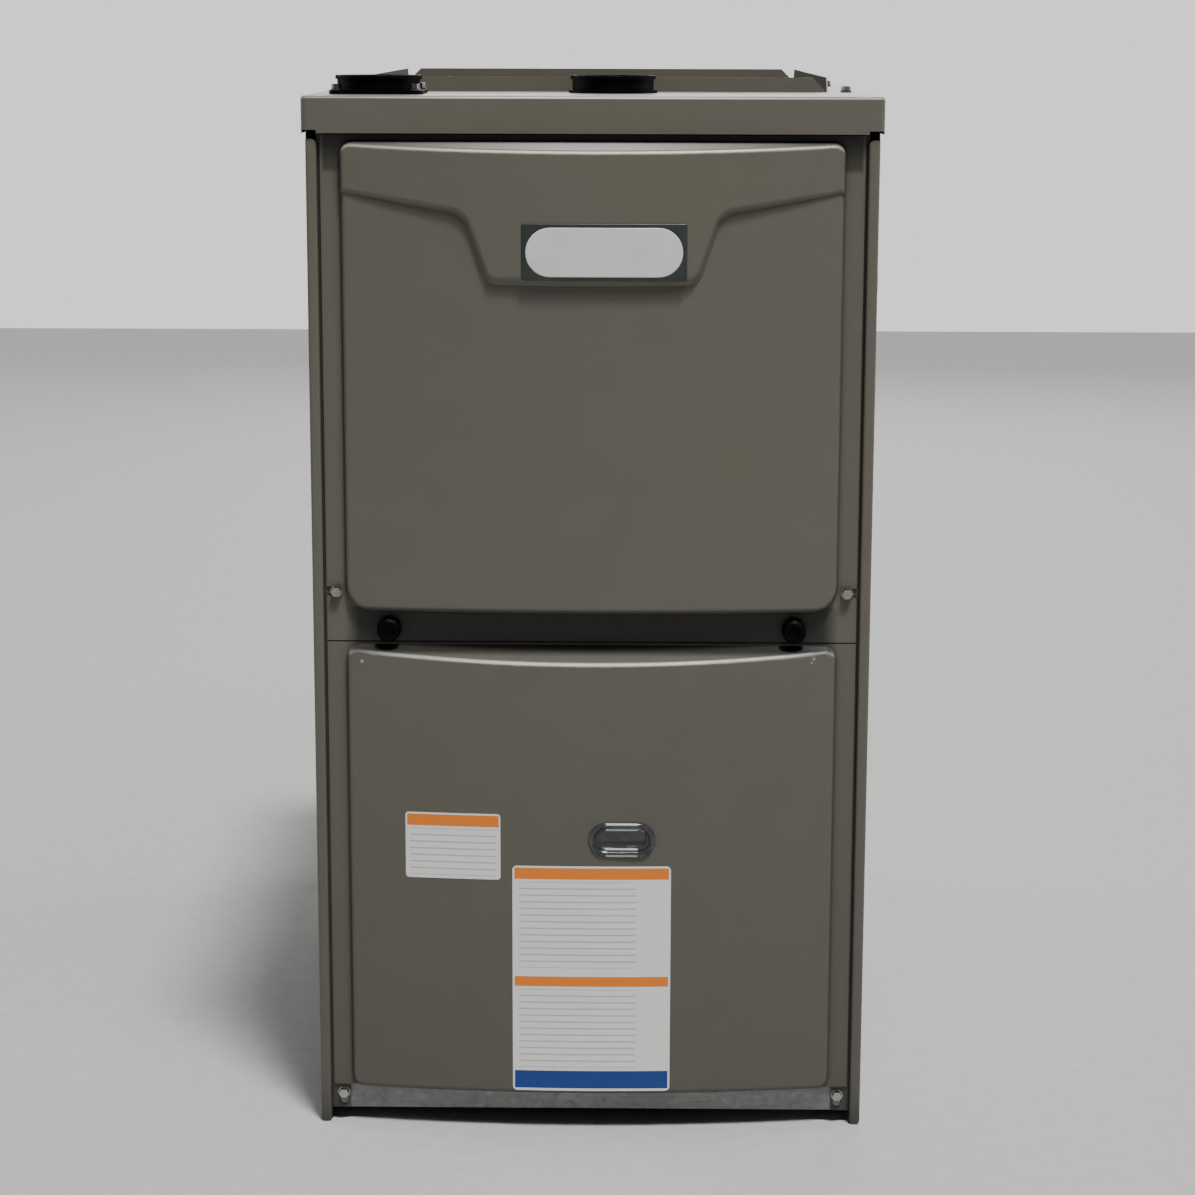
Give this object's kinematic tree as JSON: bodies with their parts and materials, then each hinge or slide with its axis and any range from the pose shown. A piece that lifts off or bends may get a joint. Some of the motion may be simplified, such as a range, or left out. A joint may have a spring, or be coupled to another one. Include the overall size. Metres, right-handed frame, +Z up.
{
  "type": "gas furnace",
  "caption": "Upright sheet-metal gas furnace with bowed upper and lower doors, raised shield panel, top cap with duct flanges and pipe collars, and its burners, inducer and blower inside.",
  "frame": {"origin": "centre of the footprint of the whole furnace, on the floor", "axes": "+X to the right seen from the front, +Y to the back, +Z up"},
  "size_m": [0.452, 0.7292, 0.8525],
  "materials": {
    "cabinet_paint": "satin warm grey powder coat",
    "galvanised_steel": "dull galvanised sheet",
    "zinc_screws": "bright zinc plate",
    "black_plastic": "fine texture",
    "badge": "plain satin plate",
    "clear_lens": "clear moulded plastic",
    "vent_pipe": "smooth pipe",
    "aluminised_steel": "dull aluminised sheet",
    "coil_fins": "plain fins",
    "iron_pipe": "black pipe",
    "brass_spuds": "turned",
    "cast_valve": "die cast",
    "red_plastic": "moulded",
    "rubber": "soft black",
    "ceramic": "unglazed",
    "snap_discs": "pressed can",
    "shaft_steel": "ground bar",
    "motor_paint": "satin black",
    "circuit_board": "solder mask",
    "component_plastic": "moulded cases",
    "white_plastic": "moulded",
    "transformer_core": "varnished laminations"
  },
  "bodies": {
    "cabinet": {"back_panel": "galvanised_steel", "base_pan": "galvanised_steel", "base_screws": "zinc_screws", "blower_deck": "galvanised_steel", "blower_housing": "galvanised_steel", "blower_motor": "motor_paint", "blower_rails": "galvanised_steel", "board_components": "component_plastic", "board_standoffs": "white_plastic", "burner_box": "galvanised_steel", "burner_box_cover": "galvanised_steel", "burners": "aluminised_steel", "cold_end_header": "black_plastic", "condensate_trap": "black_plastic", "control_board": "circuit_board", "control_panel": "galvanised_steel", "door_switch": "black_plastic", "exhaust_collar": "black_plastic", "exhaust_collar_screws": "zinc_screws", "exhaust_pipe": "vent_pipe", "flame_sensor": "ceramic", "gas_grommet": "rubber", "gas_manifold": "iron_pipe", "gas_orifices": "brass_spuds", "gas_valve": "cast_valve", "igniter": "ceramic", "inducer_housing": "black_plastic", "inducer_motor": "motor_paint", "intake_collar": "black_plastic", "intake_pipe": "vent_pipe", "junction_box": "galvanised_steel", "junction_cover": "galvanised_steel", "left_side_panel": "cabinet_paint", "limit_switch": "snap_discs", "motor_mount": "galvanised_steel", "pressure_hose": "rubber", "pressure_switch": "black_plastic", "primary_heat_exchanger": "aluminised_steel", "rear_header": "aluminised_steel", "right_side_panel": "cabinet_paint", "rollout_switches": "snap_discs", "secondary_coil": "coil_fins", "top_cap": "cabinet_paint", "top_cap_screws": "zinc_screws", "transformer": "transformer_core", "vestibule_panel": "galvanised_steel"},
    "upper_door": {"upper_door": "cabinet_paint", "upper_door_screws": "zinc_screws", "badge_plate": "badge"},
    "left_knob": {"left_door_knob": "black_plastic"},
    "right_knob": {"right_door_knob": "black_plastic"},
    "lower_door": {"lower_door": "cabinet_paint", "sight_window": "clear_lens"},
    "blower_rotor": {"blower_wheel": "galvanised_steel", "blower_shaft": "shaft_steel"},
    "inducer_rotor": {"inducer_wheel": "galvanised_steel", "inducer_shaft": "shaft_steel"},
    "gas_knob": {"gas_valve_knob": "red_plastic"},
    "switch_plunger": {"door_switch_plunger": "white_plastic"}
  },
  "joints": [
    {"name": "upper_door_draw", "type": "slide", "parent": "cabinet", "child": "upper_door", "axis": [0, -1, 0], "range_m": [0, 0.35]},
    {"name": "lower_door_draw", "type": "slide", "parent": "cabinet", "child": "lower_door", "axis": [0, -1, 0], "range_m": [0, 0.35]},
    {"name": "left_knob_turn", "type": "hinge", "parent": "upper_door", "child": "left_knob", "pos_m": [-0.162, -0.3434, 0.417], "axis": [0, -1, 0], "range_deg": [0, 90]},
    {"name": "right_knob_turn", "type": "hinge", "parent": "upper_door", "child": "right_knob", "pos_m": [0.162, -0.3434, 0.417], "axis": [0, -1, 0], "range_deg": [0, 90]},
    {"name": "blower_spin", "type": "hinge", "parent": "cabinet", "child": "blower_rotor", "pos_m": [0, 0.0566, 0.214], "axis": [1, 0, 0], "continuous": true},
    {"name": "inducer_spin", "type": "hinge", "parent": "cabinet", "child": "inducer_rotor", "pos_m": [0.02, -0.2974, 0.52], "axis": [0, 1, 0], "continuous": true},
    {"name": "gas_knob_turn", "type": "hinge", "parent": "cabinet", "child": "gas_knob", "pos_m": [0.153, -0.3134, 0.706], "axis": [0, -1, 0], "range_deg": [0, 90]},
    {"name": "door_switch_push", "type": "slide", "parent": "cabinet", "child": "switch_plunger", "axis": [0, 1, 0], "range_m": [0, 0.004], "stiffness_N_per_m": 300, "springref_m": -0.002}
  ]
}
